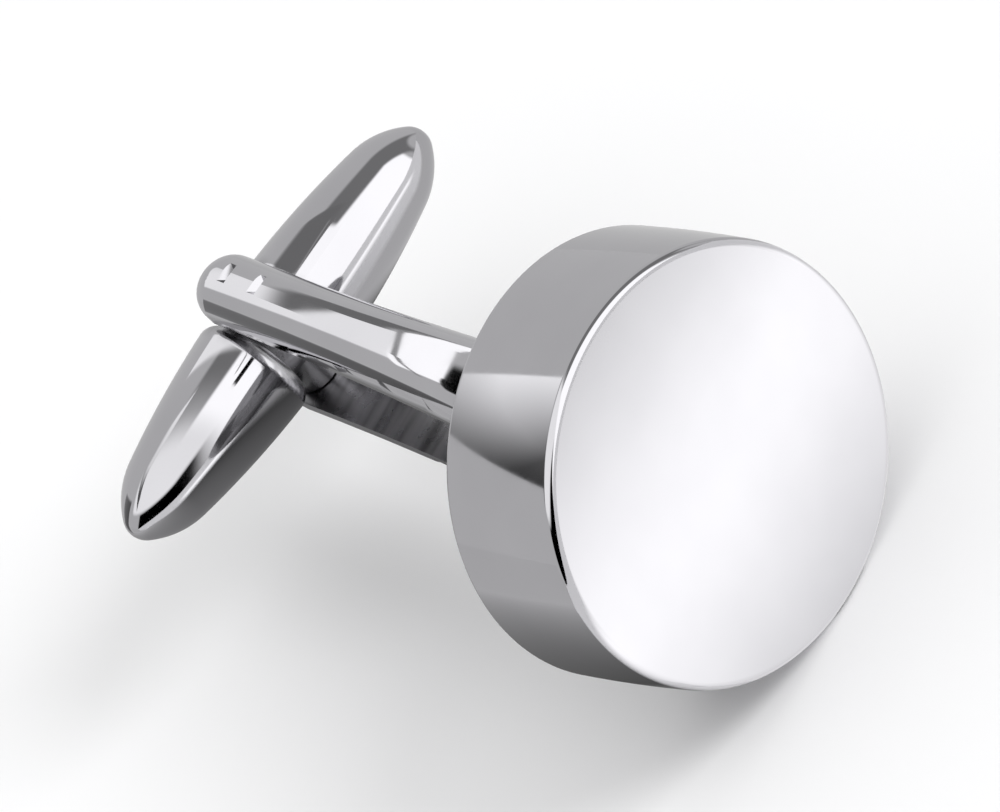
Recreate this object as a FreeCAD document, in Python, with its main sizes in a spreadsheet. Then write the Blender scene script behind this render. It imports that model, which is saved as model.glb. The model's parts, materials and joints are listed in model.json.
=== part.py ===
import FreeCAD, Part
import math
import os
import re
import Sketcher

# Cufflink with a thick round head, a two-armed yoke and a bullet toggle that turns on a pin.
# Frame: origin in the middle of the front face, +Y towards the back, +Z along the pivot pin, millimetres.
# The toggle is closed: it lies across the yoke, on the +X and -X sides.

# Driving dimensions in millimetres, and two angles in degrees
DIMENSIONS = {
    # Head
    "head_diameter": 15.0,
    "head_thickness": 5.25,
    "face_round": 0.3,
    "back_round": 0.2,
    "face_wall": 1.2,
    "rim_wall": 1.1,
    "plate_thickness": 1.0,
    "plate_ledge": 0.5,
    # Yoke: the post leans from the head's axis towards +X
    "post_length": 19.4,
    "post_lean": 9.5,
    "foot_setback": 0.47,
    "foot_margin": 0.83,
    "foot_thickness": 0.8,
    "foot_round": 0.25,
    "stud_diameter": 2.0,
    "stud_head_diameter": 3.2,
    "stud_head_height": 0.5,
    "arm_gap": 4.54,
    "arm_width": 2.46,
    "arm_thickness": 1.3,
    "arm_round": 1.0,
    "arm_straight": 2.0,
    "root_reach_right": 1.85,
    "root_reach_left": 1.9,
    "notch_first": 0.55,
    "notch_pitch": 1.78,
    "notch_floor_width": 0.05,
    "notch_floor_length": 0.42,
    "notch_depth": 0.2,
    "notch_slope": 45.0,
    # Pivot pin with a square middle
    "pin_diameter": 1.2,
    "pin_seat": 0.85,
    "pin_across_flats": 0.9,
    "pin_flat_length": 1.5,
    # Toggle: hub, two bullet caps and two leaf springs
    "toggle_length": 16.9,
    "toggle_diameter": 4.24,
    "flank_radius": 36.0,
    "nose_radius": 3.2,
    "tip_radius": 0.8,
    "cap_round": 0.5,
    "neck_diameter": 2.6,
    "neck_margin": 0.05,
    "boss_wall": 0.27,
    "spigot_diameter": 2.5,
    "spigot_length": 2.35,
    "spring_thickness": 0.18,
    "spring_width": 1.2,
    "spring_bite": 0.9,
    # Clearances
    "seat_gap": 0.01,
    "running_gap": 0.03,
    "boss_play": 0.05,
    "spring_rest_gap": 0.02,
    "spring_flex_room": 0.03,
    "spring_side_gap": 0.05,
    "spring_end_gap": 0.1,
}

# Sizes that follow from the driving dimensions, as sheet formulas
DERIVED = {
    "plate_radius": "head_diameter / 2 - rim_wall + plate_ledge",
    "cavity_radius": "head_diameter / 2 - rim_wall",
    "foot_diameter": "arm_gap + 2 * arm_thickness + 2 * foot_margin",
    "pivot_right": "post_length * sin(post_lean)",
    "pivot_back": "post_length * cos(post_lean)",
    "pivot_x": "pivot_right - foot_setback",
    "pivot_y": "pivot_back + head_thickness",
    "boss_diameter": "pin_diameter + 2 * running_gap + 2 * boss_wall",
    "hub_length": "boss_diameter + 2 * neck_margin",
    "spring_inner": "pin_across_flats / 2 + spring_rest_gap",
    "spring_outer": "spring_inner + spring_thickness",
    "spring_reach": "hub_length / 2 + spigot_length + spring_bite",
    "window_half_height": "pin_diameter / 2 + spring_thickness + spring_flex_room",
    "window_half_width": "spring_width / 2 + spring_side_gap",
    "socket_radius": "sqrt(spring_outer ^ 2 + (spring_width / 2) ^ 2) + seat_gap",
}

SHEET_NAME = "Sizes"
ALIASES = set(DIMENSIONS) | set(DERIVED)
# Numbers by which a sketch knows its own two axes, and the start, end and centre of an edge
HORIZONTAL_AXIS, VERTICAL_AXIS = range(-1, -3, -1)
START, END, CENTRE = range(1, 4)
ORIGIN_POINT = (HORIZONTAL_AXIS, START)
CLOSE = 1e-4
FULL_TURN = 360

doc = FreeCAD.newDocument("cufflink")
sheet = doc.addObject("Spreadsheet::Sheet", SHEET_NAME)
for row, (alias, number) in enumerate(DIMENSIONS.items(), start=1):
    sheet.set(f"A{row}", alias)
    sheet.set(f"B{row}", str(number))
    sheet.setAlias(f"B{row}", alias)
for row, (alias, formula) in enumerate(DERIVED.items(), start=len(DIMENSIONS) + 1):
    sheet.set(f"A{row}", alias)
    sheet.set(f"B{row}", "=" + formula)
    sheet.setAlias(f"B{row}", alias)
doc.recompute()


def expression(text):
    """Turn the aliases in a formula into references to the sheet."""
    return re.sub(r"[a-z_]+", lambda word: named_cell(word.group()), text)


def named_cell(word):
    return f"{SHEET_NAME}.{word}" if word in ALIASES else word


def value(text):
    """Present value of a formula over the sheet."""
    return float(sheet.evalExpression(expression(text)))


def new_body(label):
    body = doc.addObject("PartDesign::Body", label)
    body.Label = label
    return body


def place(body, x, y, turn):
    """Bind a body's place in the frame, and its turn about +Z in degrees, to the sheet."""
    body.Placement.Rotation = FreeCAD.Rotation(FreeCAD.Vector(0, 0, 1), value(turn))
    body.setExpression("Placement.Base.x", expression(x))
    body.setExpression("Placement.Base.y", expression(y))
    body.setExpression("Placement.Rotation.Axis.z", "1")
    body.setExpression("Placement.Rotation.Angle", expression(turn))


def origin_feature(body, role):
    return next(feature for feature in body.Origin.OriginFeatures if feature.Role == role)


def new_sketch(body, name, plane, height="0"):
    """Sketch on one of the body's own planes, raised from it by a height."""
    sketch = body.newObject("Sketcher::SketchObject", name)
    sketch.AttachmentSupport = [(origin_feature(body, plane), "")]
    sketch.MapMode = "FlatFace"
    sketch.setExpression("AttachmentOffset.Base.z", expression(height))
    return sketch


def hold_point(sketch, edge, end, across, up):
    """Tie a point to its two coordinates, each a formula over the sheet."""
    for kind, axis, text in (("DistanceX", VERTICAL_AXIS, across), ("DistanceY", HORIZONTAL_AXIS, up)):
        if text == "0":
            sketch.addConstraint(Sketcher.Constraint("PointOnObject", edge, end, axis))
        else:
            rule = Sketcher.Constraint(kind, *ORIGIN_POINT, edge, end, value(text))
            hold(sketch, rule, text)


def hold(sketch, rule, text):
    index = sketch.addConstraint(rule)
    sketch.setExpression(f"Constraints[{index}]", expression(text))


def join(sketch, first, second):
    sketch.addConstraint(Sketcher.Constraint("Coincident", first, END, second, START))


def point(across, up):
    return FreeCAD.Vector(value(across), value(up), 0)


def add_line(sketch, first, second):
    return sketch.addGeometry(Part.LineSegment(point(*first), point(*second)))


def add_arc(sketch, first, middle, second):
    """Arc through three points, always run anticlockwise as sketches expect."""
    turn = (middle - first).cross(second - middle).z
    start, finish = (first, second) if turn > 0 else (second, first)
    return sketch.addGeometry(Part.Arc(start, middle, finish))


def end_at(sketch, edge, corner):
    """Which end of an edge lies at a corner."""
    reach = sketch.Geometry[edge].StartPoint.distanceToPoint(corner)
    return START if reach < CLOSE else END


def meet(sketch, first, second, corner, kind="Coincident"):
    ends = first, end_at(sketch, first, corner), second, end_at(sketch, second, corner)
    sketch.addConstraint(Sketcher.Constraint(kind, *ends))


def add_outline(sketch, corners):
    """Closed outline of straight edges through corners given as pairs of formulas."""
    next_corners = corners[1:] + corners[:1]
    edges = [add_line(sketch, *ends) for ends in zip(corners, next_corners)]
    for edge, next_edge, corner in zip(edges, edges[1:] + edges[:1], corners):
        join(sketch, edge, next_edge)
        hold_point(sketch, edge, START, *corner)


def add_rectangle(sketch, half_across, half_up):
    left, low = f"-({half_across})", f"-({half_up})"
    add_outline(sketch, [(left, low), (half_across, low), (half_across, half_up), (left, half_up)])


def add_circle(sketch, radius, across="0", up="0"):
    normal = FreeCAD.Vector(0, 0, 1)
    circle = sketch.addGeometry(Part.Circle(point(across, up), normal, value(radius)))
    hold_point(sketch, circle, CENTRE, across, up)
    hold(sketch, Sketcher.Constraint("Radius", circle, value(radius)), radius)


def add_feature(body, kind, sketch, length, both_ways=False, reverse=False, slope=None):
    """Pad or Pocket of a sketch, by a length along its normal or shared between its two sides."""
    feature = body.newObject(f"PartDesign::{kind}", f"{sketch.Name}_{kind.lower()}")
    feature.Profile = sketch
    feature.SideType = "Symmetric" if both_ways else "One side"
    feature.Reversed = reverse
    feature.setExpression("Length", expression(length))
    if slope:
        feature.setExpression("TaperAngle", expression(slope))
    doc.recompute()
    return feature


def revolve(body, sketch, axis):
    feature = body.newObject("PartDesign::Revolution", f"{sketch.Name}_revolution")
    feature.Profile = sketch
    feature.ReferenceAxis = (origin_feature(body, axis), [""])
    feature.Angle = FULL_TURN
    doc.recompute()
    return feature


def round_edges(body, name, radius, chosen):
    """Fillet the edges of the body so far that the chosen test picks."""
    base = body.Tip
    names = [
        f"Edge{number}" for number, edge in enumerate(base.Shape.Edges, start=1)
        if not edge.Degenerated and chosen(edge)
    ]
    fillet = body.newObject("PartDesign::Fillet", name)
    fillet.Base = (base, names)
    fillet.setExpression("Radius", expression(radius))
    doc.recompute()
    return fillet


def is_near(first, second):
    return abs(first - second) < CLOSE


def is_round_at(edge, radius, axis, distance):
    """Whether an edge is a full circle of this radius about the axis, at this distance along it."""
    if not isinstance(edge.Curve, Part.Circle):
        return False
    along = getattr(edge.Curve.Center, axis)
    return is_near(edge.Curve.Radius, radius) and is_near(along, distance)


def make_head_cup():
    """Face and rim in one shell, open at the back, with a ledge for the back plate."""
    body = new_body("head_cup")
    sketch = new_sketch(body, "cup_profile", "XY_Plane")
    radius = "head_diameter / 2"
    ledge_level = "head_thickness - plate_thickness"
    add_outline(sketch, [
        ("0", "0"),
        (radius, "0"),
        (radius, "head_thickness"),
        ("plate_radius", "head_thickness"),
        ("plate_radius", ledge_level),
        ("cavity_radius", ledge_level),
        ("cavity_radius", "face_wall"),
        ("0", "face_wall"),
    ])
    revolve(body, sketch, "Y_Axis")
    outer = value(radius)
    back = value("head_thickness")
    round_edges(body, "face_edge", "face_round", lambda edge: is_round_at(edge, outer, "y", 0))
    round_edges(body, "back_edge", "back_round", lambda edge: is_round_at(edge, outer, "y", back))
    return body


def make_back_plate():
    """Disc that closes the head, flush with its back, with a hole for the yoke's stud."""
    body = new_body("back_plate")
    body.setExpression("Placement.Base.y", expression("head_thickness"))
    disc = new_sketch(body, "plate_disc", "XZ_Plane")
    add_circle(disc, "plate_radius - seat_gap")
    add_feature(body, "Pad", disc, "plate_thickness")
    hole = new_sketch(body, "stud_hole", "XZ_Plane")
    add_circle(hole, "stud_diameter / 2 + seat_gap", across="-foot_setback")
    add_feature(body, "Pocket", hole, "2 * plate_thickness", both_ways=True)
    return body


def arm_corner(along, side):
    """Point of the leaning arm: so far from the pivot towards the foot, so far to its right side."""
    across = f"pivot_right - ({along}) * sin(post_lean) + ({side}) * cos(post_lean)"
    up = f"pivot_back - ({along}) * cos(post_lean) - ({side}) * sin(post_lean)"
    return across, up


def add_arm_outline(sketch):
    """Arm seen along the pin: a round end about the pivot, straight sides, then a flare to the foot."""
    right_end, left_end = arm_corner("0", "arm_width / 2"), arm_corner("0", "-arm_width / 2")
    right_knee = arm_corner("arm_straight", "arm_width / 2")
    left_knee = arm_corner("arm_straight", "-arm_width / 2")
    right_root, left_root = ("root_reach_right", "0"), ("-root_reach_left", "0")
    tip = point(*arm_corner("-arm_width / 2", "0"))
    root = add_line(sketch, left_root, right_root)
    right_flare = add_flare(sketch, right_root, right_knee)
    right_side = add_line(sketch, right_knee, right_end)
    end = add_arc(sketch, point(*right_end), tip, point(*left_end))
    left_side = add_line(sketch, left_end, left_knee)
    left_flare = add_flare(sketch, left_root, left_knee)
    for edge, first, second in (
        (root, left_root, right_root),
        (right_side, right_knee, right_end),
        (left_side, left_end, left_knee),
    ):
        hold_point(sketch, edge, START, *first)
        hold_point(sketch, edge, END, *second)
    meet(sketch, root, right_flare, point(*right_root))
    meet(sketch, right_flare, right_side, point(*right_knee), "Tangent")
    meet(sketch, right_side, end, point(*right_end), "Tangent")
    meet(sketch, end, left_side, point(*left_end))
    meet(sketch, left_side, left_flare, point(*left_knee), "Tangent")
    meet(sketch, left_flare, root, point(*left_root))


def add_flare(sketch, root, knee):
    """Arc that leaves the foot at the root and runs into the arm's straight side at the knee."""
    start, finish = point(*root), point(*knee)
    chord = finish - start
    turn = lean_of(chord) - math.radians(value("post_lean"))
    right = FreeCAD.Vector(chord.y, -chord.x, 0)
    middle = (start + finish) / 2 + right * math.tan(turn / 2) / 2
    return add_arc(sketch, start, middle, finish)


def lean_of(direction):
    """Angle from +Y towards +X."""
    return math.atan2(direction.x, direction.y)


def make_yoke():
    """Round foot with a riveted stud and two arms that hold the pin between their ends."""
    body = new_body("yoke")
    body.setExpression("Placement.Base.x", expression("-foot_setback"))
    body.setExpression("Placement.Base.y", expression("head_thickness"))
    foot = new_sketch(body, "foot_disc", "XZ_Plane")
    add_circle(foot, "foot_diameter / 2")
    add_feature(body, "Pad", foot, "foot_thickness", reverse=True)
    foot_top = value("foot_thickness")
    foot_radius = value("foot_diameter / 2")
    round_edges(body, "foot_edge", "foot_round", lambda edge: is_round_at(edge, foot_radius, "y", foot_top))
    stud = new_sketch(body, "stud", "XZ_Plane")
    add_circle(stud, "stud_diameter / 2")
    add_feature(body, "Pad", stud, "plate_thickness + stud_head_height")
    stud_head = new_sketch(body, "stud_head", "XZ_Plane", "plate_thickness")
    add_circle(stud_head, "stud_head_diameter / 2")
    add_feature(body, "Pad", stud_head, "stud_head_height")
    arm = new_sketch(body, "arm_outline", "XY_Plane", "arm_gap / 2")
    add_arm_outline(arm)
    arm_pad = add_feature(body, "Pad", arm, "arm_thickness")
    mirror = body.newObject("PartDesign::Mirrored", "second_arm")
    mirror.Originals = [arm_pad]
    mirror.MirrorPlane = (origin_feature(body, "XY_Plane"), [""])
    body.Tip = mirror
    doc.recompute()
    crown = value("arm_gap / 2 + arm_thickness")
    round_edges(body, "arm_crown", "arm_round", lambda edge: is_on_crown(edge, crown, foot_top))
    socket = new_sketch(body, "pin_socket", "XY_Plane")
    add_circle(socket, "pin_diameter / 2 + seat_gap", "pivot_right", "pivot_back")
    add_feature(body, "Pocket", socket, "arm_gap + 2 * pin_seat + 2 * seat_gap", both_ways=True)
    for name, raised, side in (("upper_notches", "", True), ("lower_notches", "-", False)):
        notches = new_sketch(body, name, "XY_Plane", f"{raised}(arm_gap / 2 + arm_thickness - notch_depth)")
        for start in ("notch_first", "notch_first + notch_pitch"):
            add_notch(notches, start)
        add_feature(body, "Pocket", notches, "2 * notch_depth", reverse=side, slope="notch_slope")
    return body


def add_notch(sketch, start):
    """Floor of a short cut across the right half of an arm's crown, centred so far from the pivot."""
    near, far = f"{start} - notch_floor_width / 2", f"{start} + notch_floor_width / 2"
    add_outline(sketch, [
        arm_corner(near, "0"),
        arm_corner(near, "notch_floor_length"),
        arm_corner(far, "notch_floor_length"),
        arm_corner(far, "0"),
    ])


def is_on_crown(edge, crown, foot_top):
    """Whether an edge borders the outer face of an arm, clear of the foot."""
    box = edge.BoundBox
    flat = is_near(box.ZMin, box.ZMax) and is_near(abs(box.ZMin), crown)
    return flat and box.YMax > foot_top + CLOSE


def place_on_pivot(body, turn="-post_lean"):
    place(body, "pivot_x", "pivot_y", turn)


def make_pivot_pin():
    """Round pin with a square middle for the springs; its own X lies along the toggle."""
    body = new_body("pivot_pin")
    place_on_pivot(body)
    shank = new_sketch(body, "pin_shank", "XY_Plane")
    add_circle(shank, "pin_diameter / 2")
    add_feature(body, "Pad", shank, "arm_gap + 2 * pin_seat", both_ways=True)
    flats = new_sketch(body, "pin_flats", "XY_Plane")
    add_circle(flats, "pin_diameter")
    add_rectangle(flats, "pin_across_flats / 2", "pin_across_flats / 2")
    add_feature(body, "Pocket", flats, "pin_flat_length", both_ways=True)
    return body


def make_toggle_hub():
    """Round neck between the bullet caps: spigots for the caps, bosses to the arms, a window for the springs."""
    body = new_body("toggle_hub")
    place_on_pivot(body)
    neck = new_sketch(body, "hub_neck", "YZ_Plane")
    add_circle(neck, "neck_diameter / 2")
    add_feature(body, "Pad", neck, "hub_length", both_ways=True)
    boss = new_sketch(body, "hub_boss", "XY_Plane")
    add_circle(boss, "boss_diameter / 2")
    add_feature(body, "Pad", boss, "arm_gap - 2 * boss_play", both_ways=True)
    spigot = new_sketch(body, "hub_spigot", "YZ_Plane")
    add_circle(spigot, "spigot_diameter / 2")
    add_feature(body, "Pad", spigot, "hub_length + 2 * spigot_length", both_ways=True)
    window = new_sketch(body, "spring_window", "YZ_Plane")
    add_rectangle(window, "window_half_height", "window_half_width")
    add_feature(body, "Pocket", window, "toggle_length", both_ways=True)
    bore = new_sketch(body, "hub_bore", "XY_Plane")
    add_circle(bore, "pin_diameter / 2 + running_gap")
    add_feature(body, "Pocket", bore, "arm_gap", both_ways=True)
    return body


def add_cap_profile(sketch):
    """Half section of a bullet cap along X: flank, nose and tip arcs outside, a stepped bore inside."""
    face, floor, step = "hub_length / 2", "spring_reach + spring_end_gap", "hub_length / 2 + spigot_length"
    bore, tip = "spigot_diameter / 2 + seat_gap", "toggle_length / 2"
    belly_level = "toggle_diameter / 2 - flank_radius"
    shoulder = (face, f"{belly_level} + sqrt(flank_radius ^ 2 - (hub_length / 2) ^ 2)")
    flank_end, nose_end, flank_middle, nose_middle, tip_middle = cap_arc_points()
    front = add_line(sketch, (face, bore), shoulder)
    flank = add_arc(sketch, point(*shoulder), flank_middle, flank_end)
    nose = add_arc(sketch, flank_end, nose_middle, nose_end)
    cap_tip = add_arc(sketch, nose_end, tip_middle, point(tip, "0"))
    axis = add_line(sketch, (tip, "0"), (floor, "0"))
    socket_floor = add_line(sketch, (floor, "0"), (floor, "socket_radius"))
    socket_wall = add_line(sketch, (floor, "socket_radius"), (step, "socket_radius"))
    bore_step = add_line(sketch, (step, "socket_radius"), (step, bore))
    bore_wall = add_line(sketch, (step, bore), (face, bore))
    meet(sketch, front, flank, point(*shoulder))
    meet(sketch, flank, nose, flank_end, "Tangent")
    meet(sketch, nose, cap_tip, nose_end, "Tangent")
    meet(sketch, cap_tip, axis, point(tip, "0"))
    straight = [axis, socket_floor, socket_wall, bore_step, bore_wall, front]
    for first, second in zip(straight, straight[1:]):
        join(sketch, first, second)
    hold_point(sketch, front, START, face, bore)
    hold_point(sketch, axis, START, tip, "0")
    hold_point(sketch, axis, END, floor, "0")
    hold_point(sketch, socket_wall, START, floor, "socket_radius")
    hold_point(sketch, socket_wall, END, step, "socket_radius")
    hold_point(sketch, bore_wall, START, step, bore)
    hold_point(sketch, flank, CENTRE, "0", belly_level)
    sketch.addConstraint(Sketcher.Constraint("Vertical", front))
    sketch.addConstraint(Sketcher.Constraint("PointOnObject", cap_tip, CENTRE, HORIZONTAL_AXIS))
    for arc, radius in ((flank, "flank_radius"), (nose, "nose_radius"), (cap_tip, "tip_radius")):
        hold(sketch, Sketcher.Constraint("Radius", arc, value(radius)), radius)


def cap_arc_points():
    """Where the flank meets the nose and the nose meets the tip, with a middle point of each arc."""
    flank, nose, tip = (value(name) for name in ("flank_radius", "nose_radius", "tip_radius"))
    flank_centre = FreeCAD.Vector(0, value("toggle_diameter / 2") - flank, 0)
    tip_centre = FreeCAD.Vector(value("toggle_length / 2") - tip, 0, 0)
    # The nose's centre is at a set distance from the other two centres
    span = tip_centre - flank_centre
    near, far = flank - nose, nose - tip
    along = (span.Length ** 2 + near ** 2 - far ** 2) / (2 * span.Length)
    across = (near ** 2 - along ** 2) ** 0.5
    direction = span / span.Length
    left = FreeCAD.Vector(-direction.y, direction.x, 0)
    nose_centre = flank_centre + direction * along + left * across
    flank_end = flank_centre + (nose_centre - flank_centre) * flank / near
    nose_end = nose_centre + (tip_centre - nose_centre) * nose / far
    return (
        flank_end,
        nose_end,
        on_arc(flank_centre, flank, FreeCAD.Vector(0, flank, 0) + flank_centre, flank_end),
        on_arc(nose_centre, nose, flank_end, nose_end),
        on_arc(tip_centre, tip, nose_end, tip_centre + FreeCAD.Vector(tip, 0, 0)),
    )


def on_arc(centre, radius, first, second):
    middle = (first + second) / 2 - centre
    return centre + middle * radius / middle.Length


def make_toggle_cap(side, turn):
    """Bullet half, pressed on the hub's spigot; the left one is the right one turned about."""
    body = new_body(f"toggle_cap_{side}")
    place_on_pivot(body, turn)
    sketch = new_sketch(body, f"cap_profile_{side}", "XY_Plane")
    add_cap_profile(sketch)
    revolve(body, sketch, "X_Axis")
    bore = value("spigot_diameter / 2 + seat_gap")
    face = value("hub_length / 2")
    round_edges(
        body, f"cap_shoulder_{side}", "cap_round",
        lambda edge: is_shoulder(edge, face, bore),
    )
    return body


def is_shoulder(edge, face, bore):
    """Whether an edge is the rim of the cap's hub side, outside its bore."""
    if not isinstance(edge.Curve, Part.Circle):
        return False
    return is_near(edge.Curve.Center.x, face) and edge.Curve.Radius > bore + CLOSE


def make_detent_spring(side, direction):
    """Leaf spring along the toggle, resting on a flat of the pin."""
    body = new_body(f"detent_spring_{side}")
    place_on_pivot(body)
    leaf = new_sketch(body, f"leaf_{side}", "XY_Plane")
    inner, outer = f"{direction}spring_inner", f"{direction}spring_outer"
    add_outline(leaf, [
        ("-spring_reach", inner),
        ("spring_reach", inner),
        ("spring_reach", outer),
        ("-spring_reach", outer),
    ])
    add_feature(body, "Pad", leaf, "spring_width", both_ways=True)
    return body


def make_parts():
    return [
        make_head_cup(),
        make_back_plate(),
        make_yoke(),
        make_pivot_pin(),
        make_toggle_hub(),
        make_toggle_cap("right", "-post_lean"),
        make_toggle_cap("left", "180 - post_lean"),
        make_detent_spring("front", "-"),
        make_detent_spring("rear", ""),
    ]


def check_document():
    for item in doc.Objects:
        faults = {"Invalid", "Error"} & set(item.State)
        if faults:
            raise RuntimeError(f"{item.Label}: {sorted(faults)}")


parts = make_parts()
doc.recompute()
check_document()
os.makedirs("parts", exist_ok=True)
for part in parts:
    if part.Shape.isNull() or not part.Shape.isValid() or len(part.Shape.Solids) != 1:
        raise RuntimeError(f"{part.Label} is not one sound solid")
    part.Shape.exportStep(f"parts/{part.Label}.step")
    box = part.Shape.BoundBox
    print(part.Label, round(part.Shape.Volume, 3), [round(number, 3) for number in (
        box.XMin, box.XMax, box.YMin, box.YMax, box.ZMin, box.ZMax)])
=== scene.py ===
"""Looks of the cufflink: mirror-polished plate on its pieces, on a pale floor in soft studio light."""

import json
import math
from collections import namedtuple

import bpy
from mathutils import Matrix, Vector


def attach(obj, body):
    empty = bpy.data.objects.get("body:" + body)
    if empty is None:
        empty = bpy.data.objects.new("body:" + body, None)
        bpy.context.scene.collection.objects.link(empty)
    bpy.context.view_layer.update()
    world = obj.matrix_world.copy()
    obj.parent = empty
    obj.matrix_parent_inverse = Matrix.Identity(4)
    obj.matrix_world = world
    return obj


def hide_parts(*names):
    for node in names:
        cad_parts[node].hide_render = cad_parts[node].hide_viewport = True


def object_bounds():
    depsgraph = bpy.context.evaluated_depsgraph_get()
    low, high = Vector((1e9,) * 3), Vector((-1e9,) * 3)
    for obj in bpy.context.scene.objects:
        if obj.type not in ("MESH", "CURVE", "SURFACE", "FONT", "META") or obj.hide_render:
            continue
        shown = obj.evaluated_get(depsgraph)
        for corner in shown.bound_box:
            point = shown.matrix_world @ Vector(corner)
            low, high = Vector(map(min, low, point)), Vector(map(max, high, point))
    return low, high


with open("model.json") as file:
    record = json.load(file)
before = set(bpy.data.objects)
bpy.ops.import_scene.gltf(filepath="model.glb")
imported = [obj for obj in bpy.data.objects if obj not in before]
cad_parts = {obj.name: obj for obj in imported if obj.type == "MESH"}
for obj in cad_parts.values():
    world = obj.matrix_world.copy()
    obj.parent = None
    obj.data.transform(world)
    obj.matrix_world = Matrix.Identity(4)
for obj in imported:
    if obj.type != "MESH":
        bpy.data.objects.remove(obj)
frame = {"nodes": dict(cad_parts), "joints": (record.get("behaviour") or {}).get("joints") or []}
cad_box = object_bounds()

MM = 0.001
WHITE = (1.0, 1.0, 1.0, 1.0)
BLACK = (0.0, 0.0, 0.0, 1.0)

# Camera: azimuth from the front (-Y) towards +X, elevation above the floor, and roll about the line of sight
VIEW_AZIMUTH = -22.64
VIEW_ELEVATION = 35.48
VIEW_ROLL = -46.8
VIEW_LENS = 1000.0
VIEW_SENSOR = 36.0
CLIP_NEAR = 0.01
CLIP_FAR = 20.0
# In millimetres: width of the picture, how far behind the middle of the face it is measured, and the
# middle of the picture from there
PICTURE_WIDTH = 33.0
PICTURE_DEPTH = 8.0
MIDDLE_RIGHT = -7.25
MIDDLE_UP = 1.92

# Head, in millimetres: from the middle of the face along +Y, and from that axis
HEAD_RADIUS = 7.5
HEAD_DEPTH = 5.25
RIM_CROWN = 70.0
FACE_ROUND = 0.3
BACK_ROUND = 0.2
FACE_WALL = 1.2
CAVITY_RADIUS = 6.4
PLATE_RADIUS = 6.9
PLATE_DEPTH = 1.0

# Bullet caps, in millimetres: from the pivot along the toggle, and from that axis
POST_LEAN = 9.5
CAP_TIP = 8.45
CAP_FACE = 0.95
CAP_RADIUS = 2.12
FLANK_RADIUS = 36.0
NOSE_RADIUS = 3.2
TIP_RADIUS = 0.8
CAP_ROUND = 0.6
BORE_RADIUS = 1.26
BORE_END = 3.3
SOCKET_RADIUS = 0.895
SOCKET_END = 4.3

# How finely turned shapes are divided
TURN_STEPS = 256
ROUND_STEPS = 14
FLANK_STEPS = 40
FLAT_STEPS = 8
ON_AXIS = 1e-6
KEY_DIGITS = 6

# Studio surroundings by brightness, with panels that have a soft edge and angles that bound them.
# Angles are in degrees, turned with the post: azimuth from the front towards +X, elevation above the floor,
# depth from the front over to the back, and aside from the middle towards +X
SURROUND = 0.70
Panel = namedtuple("Panel", "edge brightness bounds")
PANELS = {
    "ceiling": Panel(3.0, 1.4, {"depth": (-10, 112), "aside": (-100, -4), "elevation": (28, 100)}),
    "window": Panel(3.0, 1.85, {"depth": (-10, 71), "aside": (-4, 60), "elevation": (-12, 100)}),
    "arch": Panel(4.0, 0.27, {"depth": (70, 107), "aside": (0, 75), "elevation": (-12, 100)}),
    "flag": Panel(1.5, 0.0, {"azimuth": (-87, -7), "elevation": (-12, 25)}),
}

# Painted reflections, painted light and painted shade: cards that only the metal sees, in millimetres from
# the middle of the face:
# the middle and two half edges.
# Then the soft share of each half edge, and the brightness at the start, middle and end along the second.
# Then whether the card is turned with the post, how the brightness changes, and a fade along the first half
# edge: the share of brightness left at its start, and the point where it is whole
CARD_USUALS = (True, "LINEAR", (1.0, 0.0))
Card = namedtuple("Card", "middle across along soft shades turned kind fade", defaults=CARD_USUALS)


def even(shade):
    """The same brightness at the start, middle and end of a card."""
    return (shade, shade, shade)


CARDS = {
    "arm_shade": Card((3.0, 25.2, 8.46), (2.5, 1.1, 0), (-0.5, 4.2, 0), soft=(0.1, 0.45), shades=even(0.24)),
    "arm_light": Card((-0.7, 26.4, 8.5), (2.35, 0.35, 0), (-1.1, 7.0, 0), soft=(0.3, 0.02), shades=even(1.4)),
    "root_light": Card((1.5, 19.35, 8.45), (3.85, 2.15, 0), (0, 1.7, 0), soft=(0.1, 0.05), shades=even(1.8)),
    "root_shade_line": Card((1.0, 20.8, 8.4), (-0.1, 0.2, 0), (4.2, 2.5, 0), soft=(0.5, 0.05), shades=even(0.4)),
    "root_shade": Card((-1.7, 16.2, 8.42), (2.1, 0, 0), (0, 0.95, 0), soft=(0.15, 0.15), shades=even(0.0)),
    "flank_shade": Card(
        (-20.0, 43.0, 2.2), (0, 0, 9.6), (0, 9.5, 0), soft=(0.2, 0.1), shades=(0.12, 0.2, 0.32)
    ),
    "rim_painted_reflection": Card(
        (-34.3, 35.0, 42.3), (2.1, 0, 12.0), (29.0, 0, -5.0),
        soft=(0.03, 0.03), shades=(0.14, 0.14, 1.5), fade=(0.42, -0.2),
    ),
    "floor_shade": Card(
        (-14.0, 23.0, -7.4), (8.5, 21.3, 0), (-15.8, 6.3, 0), soft=(0.35, 0.25), shades=(0.0, 0.35, 0.68)
    ),
    "back_painted_shade": Card(
        (0.0, 1464.0, -7.45), (2900, 0, 0), (0, 1450, 0), soft=(0.02, 0.003), shades=even(0.66)
    ),
    "face_painted_light_pool": Card(
        (3.0, -9.4, -7.4), (30, 0, 0), (0, 14, 0),
        soft=(0.5, 0.35), shades=(1.0, 1.86, 1.0), turned=False, kind="SMOOTHSTEP",
    ),
}

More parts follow.
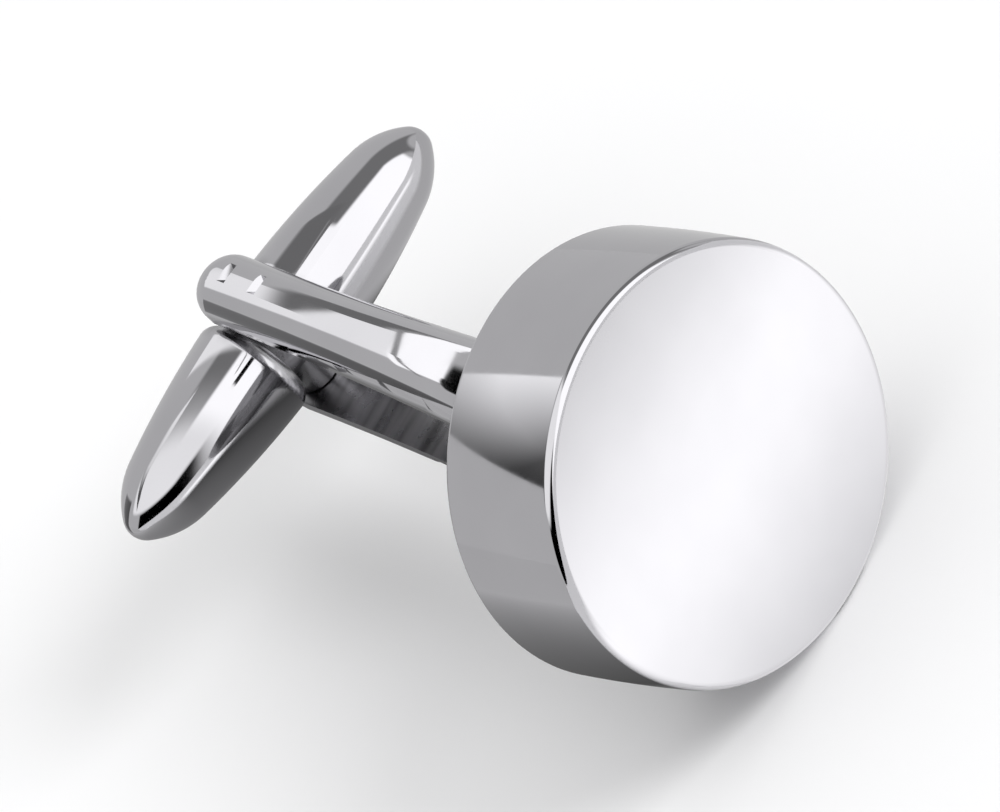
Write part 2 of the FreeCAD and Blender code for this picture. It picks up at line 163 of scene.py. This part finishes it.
# Metals: how the grain is stretched, two tints that it drifts between, roughness between its least and most,
# and in millimetres the waves of tint, gloss and unevenness, with the height of the last
Metal = namedtuple("Metal", "stretch dark light roughness tint_wave gloss_wave bump_wave bump_height")
METALS = {
    "polished_plate": Metal(
        stretch=(1, 1, 1), dark=(0.515, 0.51, 0.53, 1.0), light=(0.535, 0.53, 0.55, 1.0),
        roughness=(0.045, 0.075), tint_wave=3.0, gloss_wave=0.8, bump_wave=3.0, bump_height=0.002,
    ),
    "pin_steel": Metal(
        stretch=(1, 1, 0.05), dark=(0.4, 0.4, 0.42, 1.0), light=(0.5, 0.5, 0.51, 1.0),
        roughness=(0.2, 0.34), tint_wave=0.4, gloss_wave=0.06, bump_wave=0.06, bump_height=0.002,
    ),
    "spring_steel": Metal(
        stretch=(0.05, 1, 1), dark=(0.32, 0.33, 0.35, 1.0), light=(0.42, 0.43, 0.46, 1.0),
        roughness=(0.24, 0.4), tint_wave=0.5, gloss_wave=0.05, bump_wave=0.05, bump_height=0.002,
    ),
}
# Between the arms and round the pivot the plate is duller, and its colour is darkened in streaks: painted
# shade where the pieces shade each other. In millimetres: how far the arms' inner faces are from the middle
# plane, the edge of that, the reach from the pivot, and the wave of the streaks
INNER_HALF = 2.29
INNER_EDGE = 0.01
INNER_ROUGHNESS = 0.22
SHOULDER_REACH = (2.2, 2.75)
SHADE_STREAK_WAVE = 0.7
SHADE_STREAK_DEPTHS = (0.05, 0.6)
SHADE_STREAK_STRETCH = (0.12, 1.0, 0.12)
# Part of the noise's range that is used, and how much finer noise it holds for colour and for unevenness
NOISE_SPAN = (0.3, 0.7)
TINT_DETAIL = 2.0
BUMP_DETAIL = 0.0
# Nodes that are duller and darkened with painted shade between the arms, and nodes that aren't plated
DULL_SHADED_NODES = ("yoke", "toggle_hub")
NODE_SLOTS = {
    "pivot_pin": "pin_steel",
    "detent_spring_front": "spring_steel",
    "detent_spring_rear": "spring_steel",
}

# Lamps for the floor: soft light from above, and a key from the front
FILL_FROM = (0.0, 0.0, 1.0)
FILL_POWER = 2.75
FILL_SPREAD = 120.0
KEY_FROM = (0.38, -0.71, 0.59)
KEY_POWER = 1.3
KEY_SPREAD = 25.0

# Floor under the rim of the head
FLOOR_LEVEL = cad_box[0][2]
FLOOR_HALF = 3.0
FLOOR_COLOUR = (0.9, 0.9, 0.905, 1.0)
FLOOR_ROUGHNESS = 0.9
FLOOR_SHINE = 0.0


def directions(azimuth, elevation, roll):
    """Right, up and towards-camera directions of a camera."""
    a, e, r = (math.radians(v) for v in (azimuth, elevation, roll))
    toward = Vector((math.sin(a) * math.cos(e), -math.cos(a) * math.cos(e), math.sin(e)))
    level_right = Vector((math.cos(a), math.sin(a), 0.0))
    level_up = toward.cross(level_right)
    right = level_right * math.cos(r) + level_up * math.sin(r)
    up = level_up * math.cos(r) - level_right * math.sin(r)
    return right, up, toward


def add_object(name, data):
    made = bpy.data.objects.new(name, data)
    bpy.context.scene.collection.objects.link(made)
    return made


def add_camera():
    data = bpy.data.cameras.new("view")
    data.lens = VIEW_LENS
    data.sensor_width = VIEW_SENSOR
    data.clip_start = CLIP_NEAR
    data.clip_end = CLIP_FAR
    camera = add_object("view", data)
    right, up, toward = directions(VIEW_AZIMUTH, VIEW_ELEVATION, VIEW_ROLL)
    distance = PICTURE_WIDTH * VIEW_LENS / VIEW_SENSOR
    place = (right * MIDDLE_RIGHT + up * MIDDLE_UP + toward * (distance - PICTURE_DEPTH)) * MM
    turn = Matrix((right, up, toward)).transposed()
    camera.matrix_world = Matrix.Translation(place) @ turn.to_4x4()
    bpy.context.scene.camera = camera


def add_node(tree, kind, **values):
    """A shader node with some of its properties set."""
    made = tree.nodes.new(kind)
    for name, value in values.items():
        setattr(made, name, value)
    return made


def feed(tree, socket, value):
    """Link a socket's output to an input, or set the input to a number."""
    if isinstance(value, bpy.types.NodeSocket):
        tree.links.new(value, socket)
    else:
        socket.default_value = value


def maths(tree, operation, *values):
    made = add_node(tree, "ShaderNodeMath", operation=operation)
    for socket, value in zip(made.inputs, values):
        feed(tree, socket, value)
    return made.outputs[0]


def remap(tree, value, start, end, low=0.0, high=1.0, kind="SMOOTHSTEP"):
    """Low below start, high above end, and smooth or straight between."""
    made = add_node(tree, "ShaderNodeMapRange", interpolation_type=kind)
    names = ("Value", "From Min", "From Max", "To Min", "To Max")
    for name, number in zip(names, (value, start, end, low, high)):
        feed(tree, made.inputs[name], number)
    return made.outputs["Result"]


def band(tree, value, limits, edge):
    """1 between the limits, 0 outside, over a soft edge."""
    rise, fall = (remap(tree, value, limit - edge, limit + edge) for limit in limits)
    return maths(tree, "SUBTRACT", rise, fall)


def add_world():
    world = bpy.data.worlds.new("studio")
    bpy.context.scene.world = world
    world.use_nodes = True
    # The floor is lit by lamps; the panels show in the metal
    world.cycles_visibility.diffuse = False
    tree = world.node_tree
    tree.nodes.clear()
    place = add_node(tree, "ShaderNodeTexCoord")
    turn = add_node(tree, "ShaderNodeVectorRotate", rotation_type="Z_AXIS")
    tree.links.new(place.outputs["Generated"], turn.inputs["Vector"])
    turn.inputs["Angle"].default_value = math.radians(POST_LEAN)
    split = add_node(tree, "ShaderNodeSeparateXYZ")
    tree.links.new(turn.outputs[0], split.inputs[0])
    x, y, z = split.outputs
    forward = maths(tree, "MULTIPLY", y, -1.0)
    angles = {
        "azimuth": maths(tree, "ARCTAN2", x, forward),
        "elevation": maths(tree, "ARCSINE", z),
        "depth": maths(tree, "ARCCOSINE", forward),
        "aside": maths(tree, "ARCSINE", x),
    }
    angles = {name: maths(tree, "DEGREES", angle) for name, angle in angles.items()}
    level = SURROUND
    for panel in PANELS.values():
        mask = 1.0
        for name, limits in panel.bounds.items():
            mask = maths(tree, "MULTIPLY", band(tree, angles[name], limits, panel.edge), mask)
        mix = add_node(tree, "ShaderNodeMix", data_type="FLOAT")
        for name, value in (("Factor", mask), ("A", level), ("B", panel.brightness)):
            feed(tree, mix.inputs[name], value)
        level = mix.outputs["Result"]
    back = add_node(tree, "ShaderNodeBackground")
    back.inputs["Color"].default_value = WHITE
    tree.links.new(level, back.inputs["Strength"])
    out = add_node(tree, "ShaderNodeOutputWorld")
    tree.links.new(back.outputs[0], out.inputs["Surface"])


def add_lamps():
    """Wide soft lamps that light the floor and don't show in the metal."""
    for name, place, power, spread in (
        ("fill", FILL_FROM, FILL_POWER, FILL_SPREAD),
        ("key", KEY_FROM, KEY_POWER, KEY_SPREAD),
    ):
        data = bpy.data.lights.new(name, "SUN")
        data.energy = power
        data.angle = math.radians(spread)
        lamp = add_object(name, data)
        lamp.location = place
        lamp.rotation_euler = (-Vector(place)).to_track_quat("-Z", "Y").to_euler()
        lamp.visible_glossy = False
        lamp.visible_camera = False


def card_material(name, card):
    """Glow that changes along the card and fades out towards its edges."""
    material = bpy.data.materials.new(name)
    material.use_nodes = True
    tree = material.node_tree
    tree.nodes.clear()
    place = add_node(tree, "ShaderNodeTexCoord")
    split = add_node(tree, "ShaderNodeSeparateXYZ")
    tree.links.new(place.outputs["Object"], split.inputs[0])
    x, y = split.outputs[:2]
    cover = 1.0
    for value, soft in zip((x, y), card.soft):
        inside = remap(tree, maths(tree, "ABSOLUTE", value), 1.0 - soft, 1.0, 1.0, 0.0)
        cover = maths(tree, "MULTIPLY", inside, cover)
    start, middle, end = card.shades
    first = remap(tree, y, -1.0, 0.0, start, middle, card.kind)
    second = remap(tree, y, 0.0, 1.0, 0.0, end - middle, card.kind)
    glow = add_node(tree, "ShaderNodeEmission")
    glow.inputs["Color"].default_value = WHITE
    share, whole = card.fade
    fade = remap(tree, x, -1.0, whole, share, 1.0, "LINEAR")
    tree.links.new(maths(tree, "MULTIPLY", maths(tree, "ADD", first, second), fade), glow.inputs["Strength"])
    clear = add_node(tree, "ShaderNodeBsdfTransparent")
    mix = add_node(tree, "ShaderNodeMixShader")
    for socket, value in zip(mix.inputs, (cover, clear.outputs[0], glow.outputs[0])):
        tree.links.new(value, socket)
    out = add_node(tree, "ShaderNodeOutputMaterial")
    tree.links.new(mix.outputs[0], out.inputs["Surface"])
    return material


def add_cards():
    """Cards that stand clear of the pieces, seen in the metal and by nothing else."""
    corners = [(-1, -1, 0), (1, -1, 0), (1, 1, 0), (-1, 1, 0)]
    for name, card in CARDS.items():
        mesh = bpy.data.meshes.new(name)
        mesh.from_pydata(corners, [], [(0, 1, 2, 3)])
        mesh.materials.append(card_material(name, card))
        made = add_object(name, mesh)
        across, along = Vector(card.across), Vector(card.along)
        local = Matrix((across, along, across.cross(along).normalized())).transposed().to_4x4()
        turn = Matrix.Rotation(-math.radians(POST_LEAN), 4, "Z") if card.turned else Matrix.Identity(4)
        made.matrix_world = Matrix.Scale(MM, 4) @ turn @ Matrix.Translation(card.middle) @ local
        for sight in ("camera", "diffuse", "transmission", "volume_scatter", "shadow"):
            setattr(made, f"visible_{sight}", False)


def add_floor():
    mesh = bpy.data.meshes.new("floor")
    ends = (-FLOOR_HALF, FLOOR_HALF)
    mesh.from_pydata([(x, y, FLOOR_LEVEL) for x in ends for y in ends], [], [(0, 2, 3, 1)])
    material = bpy.data.materials.new("floor")
    material.use_nodes = True
    shader = material.node_tree.nodes["Principled BSDF"]
    shader.inputs["Base Color"].default_value = FLOOR_COLOUR
    shader.inputs["Roughness"].default_value = FLOOR_ROUGHNESS
    shader.inputs["Specular IOR Level"].default_value = FLOOR_SHINE
    mesh.materials.append(material)
    add_object("floor", mesh)


def straight(first, second, steps=1):
    """Points of a straight run of a section, with its normal on the left of the way along it."""
    first, second = Vector(first), Vector(second)
    way = (second - first).normalized()
    normal = Vector((-way.y, way.x))
    return [(first.lerp(second, i / steps), normal) for i in range(steps + 1)]


def arc(centre, radius, start, end, steps):
    """Points of a round run of a section, with normals away from its centre."""
    points = []
    for i in range(steps + 1):
        angle = start + (end - start) * i / steps
        normal = Vector((math.cos(angle), math.sin(angle)))
        points.append((Vector(centre) + normal * radius, normal))
    return points


def angle_of(way):
    return math.atan2(way.y, way.x)


def turned(name, runs, place, along):
    """Closed mesh turned about an axis. The runs hold normals, and points along the axis and away from it."""
    side = along.orthogonal().normalized()
    other = along.cross(side)
    turns = [math.tau * i / TURN_STEPS for i in range(TURN_STEPS)]
    spokes = [side * math.cos(angle) + other * math.sin(angle) for angle in turns]
    verts, faces, normals, rings = [], [], [], {}

    def ring(point):
        """Numbers of the points all round the axis; a point on the axis is one and the same all round."""
        key = (round(point.x, KEY_DIGITS), round(point.y, KEY_DIGITS))
        if key not in rings:
            first = len(verts)
            pole = abs(point.y) < ON_AXIS
            used = spokes[:1] if pole else spokes
            verts.extend((place + along * point.x + spoke * point.y) * MM for spoke in used)
            rings[key] = [first if pole else first + i for i in range(TURN_STEPS)]
        return rings[key]

    for run in runs:
        for (near, near_normal), (far, far_normal) in zip(run, run[1:]):
            near_ring, far_ring = ring(near), ring(far)
            for i in range(TURN_STEPS):
                j = (i + 1) % TURN_STEPS
                corners = {}
                for number, k, normal in (
                    (near_ring[i], i, near_normal),
                    (near_ring[j], j, near_normal),
                    (far_ring[j], j, far_normal),
                    (far_ring[i], i, far_normal),
                ):
                    corners[number] = along * normal.x + spokes[k] * normal.y
                faces.append(list(corners))
                normals.extend(corners.values())
    mesh = bpy.data.meshes.new(name)
    mesh.from_pydata(verts, [], faces)
    mesh.shade_smooth()
    mesh.normals_split_custom_set(normals)
    return add_object(name, mesh)


def head_runs():
    """Section of the head: flat face, rounded edges, slightly crowned rim, and the cup behind the face."""
    ledge = HEAD_DEPTH - PLATE_DEPTH
    crown_centre = Vector((HEAD_DEPTH / 2, HEAD_RADIUS - RIM_CROWN))
    rounds = []
    for edge, inward, size in ((0.0, 1, FACE_ROUND), (HEAD_DEPTH, -1, BACK_ROUND)):
        along = edge + inward * size
        reach = math.sqrt((RIM_CROWN - size) ** 2 - (along - crown_centre.x) ** 2)
        rounds.append(Vector((along, crown_centre.y + reach)))
    face_centre, back_centre = rounds
    face_turn = angle_of(face_centre - crown_centre)
    back_turn = angle_of(back_centre - crown_centre)
    return [
        straight((0, 0), (0, face_centre.y), FLAT_STEPS),
        arc(face_centre, FACE_ROUND, math.pi, face_turn, ROUND_STEPS),
        arc(crown_centre, RIM_CROWN, face_turn, back_turn, FLAT_STEPS),
        arc(back_centre, BACK_ROUND, back_turn, 0.0, ROUND_STEPS),
        straight((HEAD_DEPTH, back_centre.y), (HEAD_DEPTH, PLATE_RADIUS)),
        straight((HEAD_DEPTH, PLATE_RADIUS), (ledge, PLATE_RADIUS)),
        straight((ledge, PLATE_RADIUS), (ledge, CAVITY_RADIUS)),
        straight((ledge, CAVITY_RADIUS), (FACE_WALL, CAVITY_RADIUS)),
        straight((FACE_WALL, CAVITY_RADIUS), (FACE_WALL, 0)),
    ]


def cap_runs():
    """Section of a bullet cap: rounded shoulder, slim flank, nose and tip, and the stepped bore inside."""
    flank_centre = Vector((0.0, CAP_RADIUS - FLANK_RADIUS))
    tip_centre = Vector((CAP_TIP - TIP_RADIUS, 0.0))
    shoulder_along = CAP_FACE + CAP_ROUND
    shoulder_reach = math.sqrt((FLANK_RADIUS - CAP_ROUND) ** 2 - shoulder_along ** 2)
    shoulder_centre = Vector((shoulder_along, flank_centre.y + shoulder_reach))
    # The nose's centre is at a set distance from the centres of the flank and the tip
    span = tip_centre - flank_centre
    near, far = FLANK_RADIUS - NOSE_RADIUS, NOSE_RADIUS - TIP_RADIUS
    ahead = (span.length_squared + near ** 2 - far ** 2) / (2 * span.length)
    aside = math.sqrt(near ** 2 - ahead ** 2)
    way = span.normalized()
    nose_centre = flank_centre + way * ahead + Vector((-way.y, way.x)) * aside
    flank_start = angle_of(shoulder_centre - flank_centre)
    nose_start = angle_of(nose_centre - flank_centre)
    tip_start = angle_of(tip_centre - nose_centre)
    return [
        straight((CAP_FACE, BORE_RADIUS), (CAP_FACE, shoulder_centre.y)),
        arc(shoulder_centre, CAP_ROUND, math.pi, flank_start, ROUND_STEPS),
        arc(flank_centre, FLANK_RADIUS, flank_start, nose_start, FLANK_STEPS),
        arc(nose_centre, NOSE_RADIUS, nose_start, tip_start, ROUND_STEPS),
        arc(tip_centre, TIP_RADIUS, tip_start, 0.0, ROUND_STEPS),
        straight((SOCKET_END, 0), (SOCKET_END, SOCKET_RADIUS)),
        straight((SOCKET_END, SOCKET_RADIUS), (BORE_END, SOCKET_RADIUS)),
        straight((BORE_END, SOCKET_RADIUS), (BORE_END, BORE_RADIUS)),
        straight((BORE_END, BORE_RADIUS), (CAP_FACE, BORE_RADIUS)),
    ]


def add_pieces(head_plate, cap_plate):
    """Finely turned head and caps in place of the coarser ones."""
    for name, node, body, plate, runs, place, way in (
        ("round_head", "head_cup", "link", head_plate, head_runs(), Vector((0, 0, 0)), Vector((0, 1, 0))),
        ("bullet_right", "toggle_cap_right", "toggle", cap_plate, cap_runs(), pivot, toggle_way),
        ("bullet_left", "toggle_cap_left", "toggle", cap_plate, cap_runs(), pivot, -toggle_way),
    ):
        piece = turned(name, runs, place, way)
        piece.data.materials.append(plate)
        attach(piece, body)
        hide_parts(node)


def noise(tree, place, wave, detail=TINT_DETAIL):
    """Even noise of about one wave, in millimetres."""
    made = add_node(tree, "ShaderNodeTexNoise")
    tree.links.new(place, made.inputs["Vector"])
    made.inputs["Scale"].default_value = 1.0 / (wave * MM)
    made.inputs["Detail"].default_value = detail
    return made.outputs["Fac"]


def stretched(tree, coords, scale):
    made = add_node(tree, "ShaderNodeMapping")
    tree.links.new(coords.outputs["Object"], made.inputs["Vector"])
    made.inputs["Scale"].default_value = scale
    return made.outputs[0]


def add_bump(tree, height, depth):
    """Bumps of a depth in millimetres."""
    made = add_node(tree, "ShaderNodeBump")
    made.inputs["Strength"].default_value = 1.0
    made.inputs["Distance"].default_value = depth * MM
    tree.links.new(height, made.inputs["Height"])
    return made.outputs["Normal"]


def between_arms(tree, coords):
    """1 on the faces that the arms turn to each other, 0 outside."""
    split = add_node(tree, "ShaderNodeSeparateXYZ")
    tree.links.new(coords.outputs["Object"], split.inputs[0])
    from_middle = maths(tree, "ABSOLUTE", split.outputs["Z"])
    limits = ((INNER_HALF + side * INNER_EDGE) * MM for side in (-1, 1))
    return remap(tree, from_middle, *limits, 1.0, 0.0)


def round_pivot(tree, coords):
    """1 near the pivot, where the caps have their shoulders, and 0 further out."""
    made = add_node(tree, "ShaderNodeVectorMath", operation="DISTANCE")
    tree.links.new(coords.outputs["Object"], made.inputs[0])
    made.inputs[1].default_value = pivot * MM
    limits = (reach * MM for reach in SHOULDER_REACH)
    return remap(tree, made.outputs["Value"], *limits, 1.0, 0.0)


def metal(slot, dull_shaded_place=None):
    """Metal whose tint and gloss drift a little, with a faint unevenness left by its polishing or rolling;
    where a place is given, it is duller there and darkened with painted shade in streaks.
    """
    look = METALS[slot]
    material = bpy.data.materials.new(slot)
    material.use_nodes = True
    tree = material.node_tree
    shader = tree.nodes["Principled BSDF"]
    shader.inputs["Metallic"].default_value = 1.0
    coords = add_node(tree, "ShaderNodeTexCoord")
    place = stretched(tree, coords, look.stretch)
    drift = remap(tree, noise(tree, place, look.tint_wave), *NOISE_SPAN, kind="LINEAR")
    tint = add_node(tree, "ShaderNodeMix", data_type="RGBA")
    feed(tree, tint.inputs["Factor"], drift)
    tint.inputs["A"].default_value = look.dark
    tint.inputs["B"].default_value = look.light
    colour = tint.outputs["Result"]
    gloss = noise(tree, place, look.gloss_wave)
    roughness = remap(tree, gloss, *NOISE_SPAN, *look.roughness, kind="LINEAR")
    normal = add_bump(tree, noise(tree, place, look.bump_wave, BUMP_DETAIL), look.bump_height)
    if dull_shaded_place:
        inside = dull_shaded_place(tree, coords)
        roughness = maths(tree, "ADD", roughness, maths(tree, "MULTIPLY", inside, INNER_ROUGHNESS))
        # Painted shade: the colour is darkened towards black in streaks where the pieces shade each other
        shade_streaks = noise(tree, stretched(tree, coords, SHADE_STREAK_STRETCH), SHADE_STREAK_WAVE)
        painted_shade = maths(tree, "MULTIPLY", remap(tree, shade_streaks, *NOISE_SPAN, *SHADE_STREAK_DEPTHS), inside)
        shade = add_node(tree, "ShaderNodeMix", data_type="RGBA")
        feed(tree, shade.inputs["Factor"], painted_shade)
        feed(tree, shade.inputs["A"], colour)
        shade.inputs["B"].default_value = BLACK
        colour = shade.outputs["Result"]
    tree.links.new(colour, shader.inputs["Base Color"])
    tree.links.new(roughness, shader.inputs["Roughness"])
    tree.links.new(normal, shader.inputs["Normal"])
    return material


# The one joint is the toggle's hinge
pivot = Vector(frame["joints"][0]["pos_m"]) / MM
lean = math.radians(POST_LEAN)
toggle_way = Vector((math.cos(lean), -math.sin(lean), 0.0))
add_camera()
add_world()
add_lamps()
add_floor()
add_cards()
metals = {slot: metal(slot) for slot in METALS}
# Plate darkened with painted shade between the arms
dull_shaded_plate = metal("polished_plate", between_arms)
for name, piece in frame["nodes"].items():
    slot = NODE_SLOTS.get(name, "polished_plate")
    piece.data.materials.clear()
    piece.data.materials.append(dull_shaded_plate if name in DULL_SHADED_NODES else metals[slot])
# The caps are duller and darkened with painted shade at their shoulders round the pivot
add_pieces(metals["polished_plate"], metal("polished_plate", round_pivot))

bpy.context.scene.view_settings.view_transform = "Standard"
